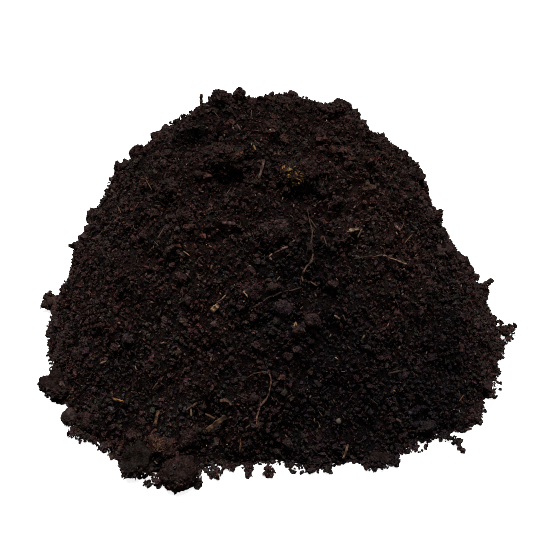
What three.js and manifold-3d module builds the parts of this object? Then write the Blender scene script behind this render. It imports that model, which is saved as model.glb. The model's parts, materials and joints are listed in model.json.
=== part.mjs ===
import * as THREE from 'three';
import { mergeVertices } from 'three/addons/utils/BufferGeometryUtils.js';
import Module from 'manifold-3d';

// A free-standing heap of moist screened compost, with the clods, wood, roots and grit that lie in it.
// Millimetres, +Z up. The origin is on the ground under the middle of the heap, and -Y is its front.

// Driving dimensions of the heap
const halfWidth = 158;
const halfDepth = 144;
const height = 158;
const squareness = 2.35; // 2 makes the foot an ellipse, more makes it boxier
const steepening = 2.4; // 2 makes the flank a parabola, more makes the crown flatter
const columns = 64;
const rings = 20;

// Unevenness of the whole surface
const waveLength = 46;
const waveHeight = 1.4;

// How far pieces stand out: foot clods as a share of their height, splinters of their thickness, roots of
// their radius
const footClodRise = 0.45;
const splinterLift = 0.3;
const rootLift = 0.6;

// Clods larger than this have finer facets
const largeClod = 15;

// Straight lengths that a root has between two places of its route
const stepsPerSpan = 3;

// Clear space between a piece and the bed that it presses into the compost
const bedGap = 0.35;

// Swellings and hollows: place as a compass angle and a share of the way from crown to foot
const lumps = [
  { angle: 0, share: 0.76, reach: 30, rise: -6 },
  { angle: 10, share: 0.6, reach: 20, rise: 3 },
  { angle: 11, share: 0.87, reach: 14, rise: -4 },
  { angle: 21, share: 0.42, reach: 14, rise: -4 },
  { angle: 32, share: 0.3, reach: 15, rise: 3 },
  { angle: 43, share: 0.28, reach: 10, rise: -3.5 },
  { angle: 132, share: 0.25, reach: 16, rise: 2 },
  { angle: 170, share: 0.62, reach: 18, rise: 4 },
  { angle: 179, share: 0.92, reach: 13, rise: -3 },
  { angle: 201, share: 1, reach: 26, rise: -9 },
  { angle: 246, share: 1, reach: 30, rise: 11 },
  { angle: 272, share: 1, reach: 16, rise: -4 },
  { angle: 307, share: 1, reach: 11, rise: -4 },
  { angle: 316, share: 1, reach: 9, rise: 3 },
  { angle: 346, share: 0.98, reach: 18, rise: 1.5 },
  { angle: 203, share: 0.36, reach: 9, rise: -3 },
  { angle: 220, share: 0.32, reach: 10, rise: -5 },
  { angle: 250, share: 0.43, reach: 11, rise: -6 },
  { angle: 283, share: 0.5, reach: 12, rise: -6 },
  { angle: 60, share: 0.7, reach: 34, rise: 5 },
  { angle: 95, share: 0.55, reach: 28, rise: -5 },
  { angle: 118, share: 0.86, reach: 34, rise: 5 },
  { angle: 150, share: 0.8, reach: 24, rise: -4 },
];

// Colours of the compost and of what lies in it
const darkCrumb = 0x1b1312;
const wetCrumb = 0x141011;
const redCrumb = 0x3a2118;
const paleWood = 0x8a6a3e;
const orange = 0x9a5a20;
const barkBrown = 0x4a3022;
const rootBrown = 0x5a4030;
const stoneGrey = 0x7d7a72;

// Clods pressed into the slope: plan place, then size across, along the slope and through
const slopeClods = [
  { name: 'crown_clod_left', x: -29.5, y: 12.5, size: [13, 11, 10], sunk: 2.5 },
  { name: 'crown_clod_peak', x: -17.5, y: 6, size: [11, 9, 9], sunk: 1.5 },
  { name: 'crown_clod_right', x: 42.5, y: -3, size: [24, 18, 14], sunk: 4.5 },
  { name: 'brow_clod', x: -23, y: -49, size: [21, 15, 12], sunk: 5 },
  { name: 'ochre_clod', x: 18.5, y: -58.5, size: [21, 17, 14], sunk: 6 },
  { name: 'face_clod', x: 3, y: -83.5, size: [22, 13, 12], sunk: 6 },
  { name: 'fleck_clod', x: -11, y: -102.5, size: [13, 11, 9], sunk: 4.5 },
  { name: 'grey_clod', x: 7.2, y: -106.5, size: [11, 10.5, 9.5], sunk: 4.5 },
  { name: 'round_clod', x: 22.5, y: -109, size: [9, 9, 8.4], sunk: 3 },
  { name: 'flank_clod_upper', x: -54, y: -57.5, size: [11, 10, 9], sunk: 4 },
  { name: 'flank_clod_lower', x: -45.5, y: -73, size: [10, 9, 8], sunk: 3.5 },
  { name: 'shoulder_clod_left', x: -81.5, y: -3, size: [14, 12, 10], sunk: 4 },
  { name: 'shoulder_clod_right', x: 96, y: -42, size: [15, 14, 11], sunk: 5 },
  { name: 'right_clod_high', x: 144, y: -10, size: [12, 10, 9], sunk: 3.5 },
  { name: 'shiny_clod', x: 88, y: -120.5, size: [12, 9, 8], sunk: 3.5 },
  { name: 'leaning_clod', x: -42.5, y: -137.5, size: [6.5, 15, 6], sunk: 2.5, spin: -35 },
  { name: 'red_clod', x: -57, y: -140.5, size: [18, 12, 10], sunk: 4, colour: redCrumb },
];

// Clods that lie on the ground against the foot: plan place, then size across, deep and high
const footClods = [
  { name: 'front_clod_big', x: -47, y: -154.5, size: [21.5, 20, 21] },
  { name: 'front_clod_dark', x: -70.5, y: -144, size: [20, 18, 18] },
  { name: 'front_clod_low', x: 26, y: -140, size: [22, 12, 9] },
  { name: 'front_clod_right', x: 61, y: -138.5, size: [21, 13, 10] },
  { name: 'left_clod_wedge', x: -128, y: -81, size: [22, 24, 18] },
  { name: 'left_clod_smooth', x: -116, y: -107, size: [12, 12, 12] },
  { name: 'left_clod_long', x: -103, y: -112, size: [10, 10, 14] },
  { name: 'left_clod_high', x: -158.5, y: 15.5, size: [15, 15, 14] },
  { name: 'right_clod_low', x: 159.5, y: -23, size: [15, 16, 15] },
];

// Flat pieces of wood and bark, from one end to the other in plan
const splinters = [
  { name: 'wood_chip_large', from: [-33.3, -135.5], to: [-23, -132.6], width: 2.4, thick: 1.3 },
  { name: 'wood_chip_small', from: [-59, -129], to: [-60.8, -133.4], width: 2.2, thick: 1.1 },
  { name: 'straw_short', from: [-45.1, -130.2], to: [-38.1, -128.8], width: 1.2, thick: 0.9 },
  { name: 'straw_orange', from: [-86.5, -116.4], to: [-79.3, -120.1], width: 1.5, thick: 1, colour: orange },
  { name: 'straw_upright', from: [-15.7, -138], to: [-16.7, -140], width: 1.1, thick: 0.9, colour: orange },
  { name: 'straw_foot', from: [42.7, -136.5], to: [39.6, -139.5], width: 1.4, thick: 1 },
  { name: 'bark_strand', from: [-5.2, -63.8], to: [-2.2, -53.8], width: 2.2, thick: 1.2, colour: barkBrown },
  { name: 'bark_flake', from: [-25.3, -79.5], to: [-17.5, -81.4], width: 2.2, thick: 1.1, colour: barkBrown },
  { name: 'tan_chip', from: [-30, -105.8], to: [-26.3, -104.8], width: 3, thick: 1.1 },
  { name: 'yellow_chip', from: [41.7, -80.2], to: [48.5, -77.5], width: 2, thick: 1 },
  { name: 'pale_chip', from: [69.5, -67.9], to: [72.2, -68.2], width: 2, thick: 1 },
];

// Roots and thin straws that follow the surface, by the plan places that they pass
const roots = [
  {
    name: 'root_long',
    radius: 0.55,
    route: [
      [20.7, -69.5], [21.8, -77.5], [22.8, -82.2], [22.6, -87],
      [23.4, -91.7], [20.1, -94.4], [18.5, -96.5], [17.8, -99],
    ],
  },
  {
    name: 'root_dark',
    radius: 0.45,
    route: [[17.4, -100.4], [12.1, -101.2], [6, -102], [-0.3, -103.9], [-3.2, -105]],
  },
  { name: 'root_side', radius: 0.4, route: [[1.3, -91.9], [3.2, -90.9], [6, -90], [10, -89]] },
  {
    name: 'root_curled',
    radius: 0.65,
    route: [
      [-13, -123.7], [-6.8, -122.6], [-1.4, -122.4], [1.1, -124.1], [0.7, -126.2],
      [0, -127.6], [-4.1, -129.6], [-5.3, -131.3], [-6.6, -133.5], [-5.5, -136.1],
    ],
  },
  {
    name: 'bark_curl',
    radius: 0.7,
    colour: barkBrown,
    route: [[-26.2, -128.7], [-22.7, -128.6], [-20.1, -129.7]],
  },
  {
    name: 'straw_bent',
    radius: 0.5,
    colour: paleWood,
    route: [[55, -85.2], [61.8, -83], [67.5, -81.9], [75.4, -79.4]],
  },
];

// The splinter that stands up out of the crown, and the grit
const spike = { x: -41.5, y: 12, radius: 1, length: 12, sunk: 3, lean: 6 };
const grit = [
  { name: 'grey_stone', x: 37.4, y: -132, size: [3.2, 3, 2.8], sunk: 1.2, colour: stoneGrey, roughness: 0.7 },
  { name: 'pale_seed', x: 1, y: -34.5, size: [2.6, 2, 1.8], sunk: 0.8, colour: paleWood, roughness: 0.6 },
];

const wasm = await Module();
wasm.setup();

// One vertex for each place, and no triangle with two corners in one place
function weld(geometry) {
  geometry.deleteAttribute('normal');
  geometry.deleteAttribute('uv');
  const welded = mergeVertices(geometry, 1e-4);
  const corners = welded.index.array;
  const kept = [];
  for (let first = 0; first < corners.length; first += 3) {
    const [a, b, c] = corners.subarray(first, first + 3);
    if (a !== b && b !== c && c !== a) kept.push(a, b, c);
  }
  welded.setIndex(kept);
  return welded;
}

function solidOf(geometry) {
  const vertProperties = new Float32Array(geometry.attributes.position.array);
  const triVerts = new Uint32Array(geometry.index.array);
  return new wasm.Manifold(new wasm.Mesh({ numProp: 3, vertProperties, triVerts }));
}

function geometryOf(solid) {
  const { vertProperties, triVerts } = solid.getMesh();
  const geometry = new THREE.BufferGeometry();
  geometry.setAttribute('position', new THREE.BufferAttribute(vertProperties, 3));
  geometry.setIndex(new THREE.BufferAttribute(triVerts, 1));
  return geometry;
}

function footRadius(angle) {
  const side = Math.abs(Math.cos(angle)) / halfWidth;
  const front = Math.abs(Math.sin(angle)) / halfDepth;
  return (side ** squareness + front ** squareness) ** (-1 / squareness);
}

// The plain mound: level at the crown and steeper all the way down to the foot
function moundPoint(angle, share) {
  const radius = footRadius(angle) * share;
  const level = height * (1 - share ** steepening);
  return new THREE.Vector3(radius * Math.cos(angle), radius * Math.sin(angle), level);
}

const lumpPlaces = lumps.map((lump) => moundPoint(THREE.MathUtils.degToRad(lump.angle), lump.share));

// The mound with its waves and lumps, pushed out square to an egg shape of the same size
function heapPoint(angle, share) {
  const point = moundPoint(angle, share);
  const { x, y, z } = point;
  const outward = new THREE.Vector3(x / halfWidth ** 2, y / halfDepth ** 2, z / height ** 2).normalize();
  const turn = (2 * Math.PI) / waveLength;
  let push = waveHeight * Math.sin(turn * x) * Math.sin(turn * y + 1) * Math.sin(turn * z + 2);
  lumps.forEach(({ reach, rise }, index) => {
    const away = point.distanceTo(lumpPlaces[index]) / reach;
    push += rise * Math.exp(-(away ** 2));
  });
  return point.addScaledVector(outward, push);
}

function heapGeometry() {
  const profile = [new THREE.Vector2(0, 0)];
  for (let ring = rings; ring >= 0; ring--) profile.push(new THREE.Vector2(ring / rings, 1));
  const geometry = weld(new THREE.LatheGeometry(profile, columns));
  const places = geometry.attributes.position;
  for (let i = 0; i < places.count; i++) {
    if (places.getY(i) === 0) continue;
    const share = Math.hypot(places.getX(i), places.getZ(i));
    const point = heapPoint(Math.atan2(-places.getZ(i), places.getX(i)), share);
    places.setXYZ(i, point.x, point.y, point.z);
  }
  return geometry;
}

const heap = new THREE.Mesh(heapGeometry());
const probe = new THREE.Raycaster();
const down = new THREE.Vector3(0, 0, -1);

// The point of the heap's surface above a plan place, and the way that the surface faces there
function surfaceAt(x, y) {
  probe.set(new THREE.Vector3(x, y, 2 * height), down);
  const [hit] = probe.intersectObject(heap);
  return { point: hit.point, normal: hit.face.normal.clone() };
}

function pieceMaterial(color = darkCrumb, roughness = 0.95) {
  return new THREE.MeshStandardMaterial({ color, roughness, metalness: 0 });
}

// A lumpy ball of the given size, flat below the level of the ground if it lies on the ground
function clodGeometry([across, along, through], seed, ground = -Infinity) {
  const detail = Math.max(across, along, through) > largeClod ? 2 : 1;
  const geometry = weld(new THREE.IcosahedronGeometry(1, detail));
  const places = geometry.attributes.position;
  for (let i = 0; i < places.count; i++) {
    const point = new THREE.Vector3().fromBufferAttribute(places, i);
    const folds = Math.sin(3 * point.x + seed) * Math.sin(2.6 * point.y + 2 * seed);
    const bulge = 0.5 * (0.95 + 0.09 * folds + 0.07 * Math.sin(4 * point.z + 3 * seed));
    const level = Math.max(point.z * bulge * through, ground);
    places.setXYZ(i, point.x * bulge * across, point.y * bulge * along, level);
  }
  return geometry;
}

// A sliver with slanted ends, lying along X
function splinterGeometry(length, width, thick) {
  const outline = new THREE.Shape([
    new THREE.Vector2(-length / 2, -width * 0.2),
    new THREE.Vector2(-length * 0.38, -width / 2),
    new THREE.Vector2(length * 0.32, -width * 0.45),
    new THREE.Vector2(length / 2, width * 0.1),
    new THREE.Vector2(length * 0.4, width * 0.4),
    new THREE.Vector2(-length * 0.44, width / 2),
  ]);
  const geometry = new THREE.ExtrudeGeometry(outline, { depth: thick, bevelEnabled: false });
  return weld(geometry.translate(0, 0, -thick / 2));
}

function rootGeometry(points, radius) {
  const section = new THREE.Shape();
  section.absarc(0, 0, radius, 0, 2 * Math.PI);
  const extrudePath = new THREE.CatmullRomCurve3(points);
  const steps = stepsPerSpan * (points.length - 1);
  return weld(new THREE.ExtrudeGeometry(section, { steps, curveSegments: 4, extrudePath }));
}

// Turns a piece so that its X lies along a direction and its Z faces out of the surface
function layOn(mesh, point, along, normal) {
  const across = new THREE.Vector3().crossVectors(normal, along).normalize();
  const ahead = new THREE.Vector3().crossVectors(across, normal).normalize();
  mesh.quaternion.setFromRotationMatrix(new THREE.Matrix4().makeBasis(ahead, across, normal));
  mesh.position.copy(point);
  mesh.updateMatrix();
}

// The same piece a little larger all round, as the bed that it needs
function bedOf(mesh, sizes) {
  const grown = sizes.map((size) => (size + 2 * bedGap) / size);
  const geometry = mesh.geometry.clone().scale(...grown).applyMatrix4(mesh.matrix);
  return solidOf(geometry);
}

const compost = new THREE.Group();
const beds = [];

function addPiece(name, mesh, bed) {
  mesh.name = name;
  compost.add(mesh);
  beds.push(bed);
}

[...slopeClods, ...grit].forEach(({ name, x, y, size, sunk, spin, colour, roughness }, seed) => {
  const mesh = new THREE.Mesh(clodGeometry(size, seed), pieceMaterial(colour, roughness));
  const { point, normal } = surfaceAt(x, y);
  const level = new THREE.Vector3(-normal.y, normal.x, 0);
  level.applyAxisAngle(normal, THREE.MathUtils.degToRad(spin ?? 0));
  layOn(mesh, point.addScaledVector(normal, size[2] / 2 - sunk), level, normal);
  addPiece(name, mesh, bedOf(mesh, size));
});

footClods.forEach(({ name, x, y, size }, index) => {
  const rise = size[2] * footClodRise;
  const mesh = new THREE.Mesh(clodGeometry(size, 2 * index + 1, -rise), pieceMaterial(wetCrumb, 0.85));
  mesh.position.set(x, y, rise);
  mesh.updateMatrix();
  addPiece(name, mesh, bedOf(mesh, size));
});

splinters.forEach(({ name, from, to, width, thick, colour }) => {
  const start = surfaceAt(...from);
  const end = surfaceAt(...to);
  const along = end.point.clone().sub(start.point);
  const length = along.length();
  const middle = start.point.add(end.point).multiplyScalar(0.5);
  const facing = start.normal.add(end.normal).projectOnPlane(along.clone().normalize()).normalize();
  const mesh = new THREE.Mesh(splinterGeometry(length, width, thick), pieceMaterial(colour ?? paleWood, 0.8));
  layOn(mesh, middle.addScaledVector(facing, thick * splinterLift), along, facing);
  addPiece(name, mesh, bedOf(mesh, [length, width, thick]));
});

roots.forEach(({ name, radius, route, colour }) => {
  const points = route.map(([x, y]) => {
    const { point, normal } = surfaceAt(x, y);
    return point.addScaledVector(normal, radius * rootLift);
  });
  const mesh = new THREE.Mesh(rootGeometry(points, radius), pieceMaterial(colour ?? rootBrown, 0.85));
  const before = points[0].clone().sub(points[1]).setLength(bedGap).add(points[0]);
  const after = points.at(-1).clone().sub(points.at(-2)).setLength(bedGap).add(points.at(-1));
  const bedPoints = [before, ...points.slice(1, -1), after];
  addPiece(name, mesh, solidOf(rootGeometry(bedPoints, radius + bedGap)));
});

const spikeGeometry = weld(new THREE.ConeGeometry(spike.radius, spike.length, 6));
const spikeMesh = new THREE.Mesh(spikeGeometry, pieceMaterial(barkBrown, 0.9));
spikeMesh.position.copy(surfaceAt(spike.x, spike.y).point);
spikeMesh.position.z += spike.length / 2 - spike.sunk;
spikeMesh.rotation.set(Math.PI / 2, THREE.MathUtils.degToRad(spike.lean), 0);
spikeMesh.updateMatrix();
addPiece('splinter_upright', spikeMesh, bedOf(spikeMesh, [2 * spike.radius, spike.length, 2 * spike.radius]));

heap.geometry = geometryOf(beds.reduce((rest, bed) => rest.subtract(bed), solidOf(heap.geometry)));
heap.material = pieceMaterial(darkCrumb, 1);
heap.name = 'compost_mass';
compost.add(heap);

export default compost;
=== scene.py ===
import json
import math
import bpy
import mathutils
import numpy as np
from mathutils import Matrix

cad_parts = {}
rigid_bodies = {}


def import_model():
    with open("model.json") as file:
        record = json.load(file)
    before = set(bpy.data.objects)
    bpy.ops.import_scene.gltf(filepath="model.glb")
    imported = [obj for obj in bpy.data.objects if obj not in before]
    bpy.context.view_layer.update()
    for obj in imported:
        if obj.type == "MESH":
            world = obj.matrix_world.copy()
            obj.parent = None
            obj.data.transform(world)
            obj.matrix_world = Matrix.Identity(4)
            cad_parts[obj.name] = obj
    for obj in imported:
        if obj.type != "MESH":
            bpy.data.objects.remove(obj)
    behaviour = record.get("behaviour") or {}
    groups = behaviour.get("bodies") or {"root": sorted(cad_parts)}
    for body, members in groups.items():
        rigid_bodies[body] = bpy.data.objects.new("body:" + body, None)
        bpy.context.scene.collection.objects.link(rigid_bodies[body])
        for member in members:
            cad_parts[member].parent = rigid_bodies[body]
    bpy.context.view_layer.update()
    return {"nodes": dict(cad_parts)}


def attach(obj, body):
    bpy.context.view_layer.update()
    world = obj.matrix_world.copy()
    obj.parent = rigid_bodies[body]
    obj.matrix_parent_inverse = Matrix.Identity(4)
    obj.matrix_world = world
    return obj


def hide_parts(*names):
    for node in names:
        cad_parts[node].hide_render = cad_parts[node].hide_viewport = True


# A heap of moist compost: a bed of packed compost, tens of thousands of crumbs and flakes on it, and the
# clods, wood, roots and grit that lie in it. Metres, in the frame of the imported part, the front at -Y.
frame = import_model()
mm = 0.001
print("frame:", len(frame["nodes"]), "nodes")


# The heap's form, as the frame has it. A lump is a compass angle, a share of the way from crown to foot,
# and its reach and rise in millimetres.
heapForm = {
    "halfWidth": 158 * mm,
    "halfDepth": 144 * mm,
    "height": 158 * mm,
    "squareness": 2.35,  # 2 makes the foot an ellipse, more makes it boxier
    "steepening": 2.4,  # 2 makes the flank a parabola, more makes the crown flatter
    "waveLength": 46 * mm,
    "waveHeight": 1.4 * mm,
    "lumps": [
        (0, 0.76, 30, -6), (10, 0.6, 20, 3), (11, 0.87, 14, -4), (21, 0.42, 14, -4), (32, 0.3, 15, 3),
        (43, 0.28, 10, -3.5), (132, 0.25, 16, 2), (170, 0.62, 18, 4), (179, 0.92, 13, -3), (201, 1, 26, -9),
        (246, 1, 30, 11), (272, 1, 16, -4), (307, 1, 11, -4), (316, 1, 9, 3), (346, 0.98, 18, 1.5),
        (203, 0.36, 9, -3), (220, 0.32, 10, -5), (250, 0.43, 11, -6), (283, 0.5, 12, -6), (60, 0.7, 34, 5),
        (95, 0.55, 28, -5), (118, 0.86, 34, 5), (150, 0.8, 24, -4),
    ],
}


def unit(vectors):
    return vectors / np.maximum(np.linalg.norm(vectors, axis=-1, keepdims=True), 1e-12)


def moundPoint(angle, share):
    # radius = foot(angle) · share, level = height · (1 - share^steepening); the foot is a superellipse
    squareness = heapForm["squareness"]
    side = np.abs(np.cos(angle)) / heapForm["halfWidth"]
    front = np.abs(np.sin(angle)) / heapForm["halfDepth"]
    radius = share * (side ** squareness + front ** squareness) ** (-1 / squareness)
    level = heapForm["height"] * (1 - share ** heapForm["steepening"])
    return np.stack([radius * np.cos(angle), radius * np.sin(angle), level + 0 * angle], -1)


def heapPoint(angle, share):
    # mound + outward · push; outward is square to an egg of the same size, and
    # push = waves (sin · sin · sin) + sum of rise · exp(-(distance to lump / reach)²)
    place = moundPoint(angle, share)
    egg = np.array([heapForm["halfWidth"], heapForm["halfDepth"], heapForm["height"]])
    turn = 2 * math.pi / heapForm["waveLength"]
    push = heapForm["waveHeight"] * np.sin(turn * place + (0, 1, 2)).prod(-1)
    for lumpAngle, lumpShare, reach, rise in heapForm["lumps"]:
        lump = moundPoint(np.radians(lumpAngle), lumpShare)
        away = np.linalg.norm(place - lump, axis=-1) / (reach * mm)
        push = push + rise * mm * np.exp(-away ** 2)
    return place + unit(place / egg ** 2) * push[..., None]


def heapFacing(angle, share):
    # the way that the surface faces and its area per step: (step along share) × (step along angle)
    step = 0.004
    share = np.maximum(share, 2 * step)
    down = heapPoint(angle, share + step) - heapPoint(angle, share - step)
    around = heapPoint(angle + step, share) - heapPoint(angle - step, share)
    crossing = np.cross(down, around)
    return unit(crossing), np.linalg.norm(crossing, axis=-1)


def nodeCorners(name):
    mesh = frame["nodes"][name].data
    corners = np.empty(3 * len(mesh.vertices))
    mesh.vertices.foreach_get("co", corners)
    return np.unique(corners.reshape(-1, 3).round(6), axis=0)


def nodeFrame(name):
    # middle, axes from longest to shortest and half sizes of a node, from the spread of its corners
    corners = nodeCorners(name)
    middle = (corners.min(0) + corners.max(0)) / 2
    axes = np.linalg.eigh(np.cov((corners - middle).T))[1][:, ::-1]
    outward = middle - (0, 0, heapForm["height"] / 4)
    axes = axes * np.where(axes[:, 2] @ outward < 0, -1, 1)
    axes[:, 0] = np.cross(axes[:, 1], axes[:, 2])
    along = (corners - middle) @ axes
    middle = middle + axes @ (along.min(0) + along.max(0)) / 2
    return middle, axes, np.ptp(along, axis=0) / 2


nodeFrames = {name: nodeFrame(name) for name in frame["nodes"] if name != "compost_mass"}


# Unevenness of the loose surface, as (size, height) of its swells and of the clumps that it breaks into,
# rougher round the brow. Hollows, by plan place, reach and depth in millimetres, make dark crevices, and
# notches in the outline and the foot. All of it fades near the pieces that lie in the heap, so that they
# stay bedded where the frame has them.
relief = {
    "recess": 2.0 * mm,
    "swells": (27 * mm, 1.8 * mm),
    "clumps": [(11 * mm, 7 * mm), (5 * mm, 3.0 * mm)],
    "plainRough": 0.5,
    "browRough": 1.2,
    "brow": (0, -40 * mm, 150 * mm),
    "browReach": 62 * mm,
    "bedded": 2.5 * mm,
    "slender": 2.5,  # a thin piece is this many times as long as it is wide
    "spots": 12,  # of a thin piece, near which the surface keeps still
    "collar": 0.6 * mm,
    "hollows": [
        (-54, -16, 8, 5), (-47, -20, 7, 5), (-36, -22, 7, 3), (-33, -12, 8, 4), (-23, -16, 7, 3),
        (-57, -21, 6, 3), (-27, -55, 7, 1), (-20, -54, 7, 0.5), (-12, -57, 6, 1.5), (8, -63, 6, 1),
        (14, -63, 7, 1), (24, -65, 7, 2), (37, -72, 6, 3), (41, -88, 7, 3), (17, -101, 7, 2.5),
        (31, -99, 7, 2.5), (43, -98, 6, 2.5), (-62, 21, 9, 5), (-81, 6, 9, 4), (-90, 20, 9, 4),
        (78, 5, 12, 3), (90, -2, 10, 3), (99, -27, 9, 4), (-127, -94, 7, 14), (-61, 28, 7, 3.5),
        (25, 21, 6, 3), (79, 23, 7, 3), (107, 5, 8, 4.5), (121, 37, 10, 6), (123, 10, 7, 2.5),
        (-140, -17, 9, 6), (-34, -138, 7, 9), (116, 25, 7, 4), (63, 43, 7, 4), (101, -18, 6, 4.5),
        (-154, -26, 10, 5), (152, -52, 8, 4),
    ],
}
# Random heights on a block of corners that repeats, and how far a cap's middle is from its cube's
latticeSide = 32
lattice = np.random.default_rng(5).uniform(-1, 1, (latticeSide,) * 3)
jitter = np.random.default_rng(6).uniform(-0.45, 0.45, (latticeSide,) * 3 + (3,))


def softNoise(points, size):
    # random heights at the corners of cubes of this size, blended across each cube by f²(3 - 2f)
    place = points / size
    cell = np.floor(place).astype(int)
    blend = place - cell
    blend = blend * blend * (3 - 2 * blend)
    total = np.zeros(points.shape[:-1])
    for corner in np.ndindex(2, 2, 2):
        weight = np.where(corner, blend, 1 - blend).prod(-1)
        x, y, z = np.moveaxis((cell + corner) % latticeSide, -1, 0)
        total += weight * lattice[x, y, z]
    return total


def clumps(points, size):
    # the upper edge of round caps, one in each cube of this size: highest of level - (distance / size)²
    place = points / size
    cell = np.floor(place).astype(int) - 1
    top = np.full(points.shape[:-1], -np.inf)
    for step in np.ndindex(3, 3, 3):
        near = cell + step
        x, y, z = np.moveaxis(near % latticeSide, -1, 0)
        away = ((place - near - 0.5 - jitter[x, y, z]) ** 2).sum(-1)
        top = np.maximum(top, lattice[x, y, z] / 2 - away)
    return top + 0.18  # brings the mean to nought


def bedPlaces(name):
    # where a node lies in the heap and how far round it the surface keeps still: a clod by its middle, a
    # thin piece by some of its corners
    middle, axes, half = nodeFrames[name]
    if half[0] < relief["slender"] * half[1]:
        return [(middle, min(half[0], 2 * half[1]) + relief["bedded"])]
    corners = nodeCorners(name)
    return [(corner, relief["bedded"]) for corner in corners[::len(corners) // relief["spots"] + 1]]


beds = [bed for name in nodeFrames for bed in bedPlaces(name)]


def looseSurface(angle, share):
    # heap point + facing · ((swells + clumps · rough - hollows - recess) · (1 - still) + collar · still),
    # where still = exp(-(distance to the nearest piece / reach)²)
    place = heapPoint(angle, share)
    facing = heapFacing(angle, share)[0]
    away = np.full(place.shape[:-1], np.inf)
    for bed, reach in beds:
        away = np.minimum(away, np.linalg.norm(place - bed, axis=-1) / reach)
    size, height = relief["swells"]
    uneven = height * softNoise(place, size)
    fromBrow = np.linalg.norm(place - relief["brow"], axis=-1) / relief["browReach"]
    rough = relief["plainRough"] + (relief["browRough"] - relief["plainRough"]) * np.exp(-fromBrow ** 2)
    for size, height in relief["clumps"]:
        uneven = uneven + height * clumps(place, size) * rough
    for x, y, reach, depth in relief["hollows"]:
        aside = ((place[..., :2] / mm - (x, y)) ** 2).sum(-1) / reach ** 2
        uneven = uneven - depth * mm * np.exp(-aside)
    still = np.exp(-away ** 2)
    level = (uneven - relief["recess"]) * (1 - still) + relief["collar"] * still
    return place + facing * level[..., None], facing


# The plane's golden numbers, whose multiples fill a square evenly, how many tries there are for each place,
# the share that counts as the crown's middle, and the quantile of the areas at which every try is kept
planeSteps = (0.7548776662, 0.5698402910)
scatter = {"tries": 4, "crown": 0.02, "largest": 0.995}


def scatterOnHeap(count, rng, lowest=1.0):
    # evenly by area: steps of the golden numbers over (angle, share²), shaken by half a step and kept in
    # proportion to the area that a step covers there
    tries = np.arange(scatter["tries"] * count)[:, None] * planeSteps + rng.uniform(0, 1, 2)
    tries = tries + rng.uniform(-0.5, 0.5, tries.shape) / np.sqrt(len(tries))
    angle, square = (tries % 1).T
    angle = 2 * np.pi * angle
    share = lowest * np.sqrt(square)
    area = heapFacing(angle, share)[1] / np.maximum(share, scatter["crown"])
    kept = rng.uniform(0, np.quantile(area, scatter["largest"]), len(area)) < area
    chosen = np.flatnonzero(kept)[:count]
    return angle[chosen], share[chosen]


def onHeap(plan):
    # the loose surface above plan places in millimetres: the aim is moved until the heap's point fits
    plan = np.asarray(plan, float) * mm
    aim = plan
    for attempt in range(8):
        angle = np.arctan2(aim[..., 1], aim[..., 0])
        foot = np.linalg.norm(moundPoint(angle, 1.0)[..., :2], axis=-1)
        share = np.linalg.norm(aim, axis=-1) / foot
        aim = aim + plan - heapPoint(angle, share)[..., :2]
    return looseSurface(angle, share)


# Grids: every piece is a ball or a tube worked out on rows and columns, with closed ends
def gridFaces(rows, columns):
    # two triangles for each cell of rows that close on themselves, and a fan at each end; spots are
    # (column, row) from 0 to 1 at each corner of each face, for a map with no seam across it
    row, column = (x.ravel() for x in np.meshgrid(np.arange(rows - 1), np.arange(columns), indexing="ij"))
    here = np.stack([column, row], -1)
    upper = np.stack([here, here + (0, 1), here + (1, 0)], 1)
    lower = np.stack([here + (0, 1), here + (1, 1), here + (1, 0)], 1)
    turn = np.arange(columns)
    first = np.stack([turn, turn * 0], -1)
    last = np.stack([turn, turn * 0 + rows - 1], -1)
    top = np.stack([first + (0.5, -1), first, first + (1, 0)], 1)
    bottom = np.stack([last + (0.5, 1), last + (1, 0), last], 1)
    spots = np.concatenate([upper, lower, top, bottom]).astype(float)
    index = (spots[..., 1] * columns + spots[..., 0] % columns).astype(int)
    index = np.where(spots[..., 1] < 0, rows * columns, index)
    index = np.where(spots[..., 1] > rows - 1, rows * columns + 1, index)
    return index, (spots + (0, 1)) / (columns + 0.5, rows + 1)


def ballGrid(columns, rings):
    # corner = (sin tilt · cos turn, sin tilt · sin turn, cos tilt), each ring turned half a column on
    row, column = np.meshgrid(np.arange(rings), np.arange(columns), indexing="ij")
    tilt = np.pi * (row + 1) / (rings + 1)
    turn = 2 * np.pi * (column + row / 2) / columns
    ring = np.stack([np.sin(tilt) * np.cos(turn), np.sin(tilt) * np.sin(turn), np.cos(tilt)], -1)
    corners = np.concatenate([ring.reshape(-1, 3), [[0, 0, 1], [0, 0, -1]]])
    return corners, *gridFaces(rings, columns)


def tubes(paths, halfWidth, halfThick, facing, sides, boxy=2.0):
    # path + width · across · cos + thick · up · sin along each path, squarer where boxy is above 2;
    # paths are (count, steps, 3), half sizes (count, steps) and facing (count, 3) or (count, steps, 3)
    count, steps = paths.shape[:2]
    ahead = unit(np.gradient(paths, axis=1))
    across = unit(np.cross(np.broadcast_to(facing.reshape(count, -1, 3), paths.shape), ahead))
    up = np.cross(ahead, across)
    turn = -2 * np.pi * np.arange(sides) / sides
    wide = np.sign(np.cos(turn)) * np.abs(np.cos(turn)) ** (2 / boxy)
    high = np.sign(np.sin(turn)) * np.abs(np.sin(turn)) ** (2 / boxy)
    ring = across[:, :, None] * (halfWidth[..., None] * wide)[..., None]
    ring = ring + up[:, :, None] * (halfThick[..., None] * high)[..., None]
    ring = (paths[:, :, None] + ring).reshape(count, -1, 3)
    points = np.concatenate([ring, paths[:, :1], paths[:, -1:]], 1)
    return points, *gridFaces(steps, sides)


def joined(points, faces):
    # many copies of one grid as one list of corners and faces
    count, corners = points.shape[:2]
    shifted = faces[None] + corners * np.arange(count)[:, None, None]
    return points.reshape(-1, 3), shifted.reshape(-1, 3)


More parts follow.
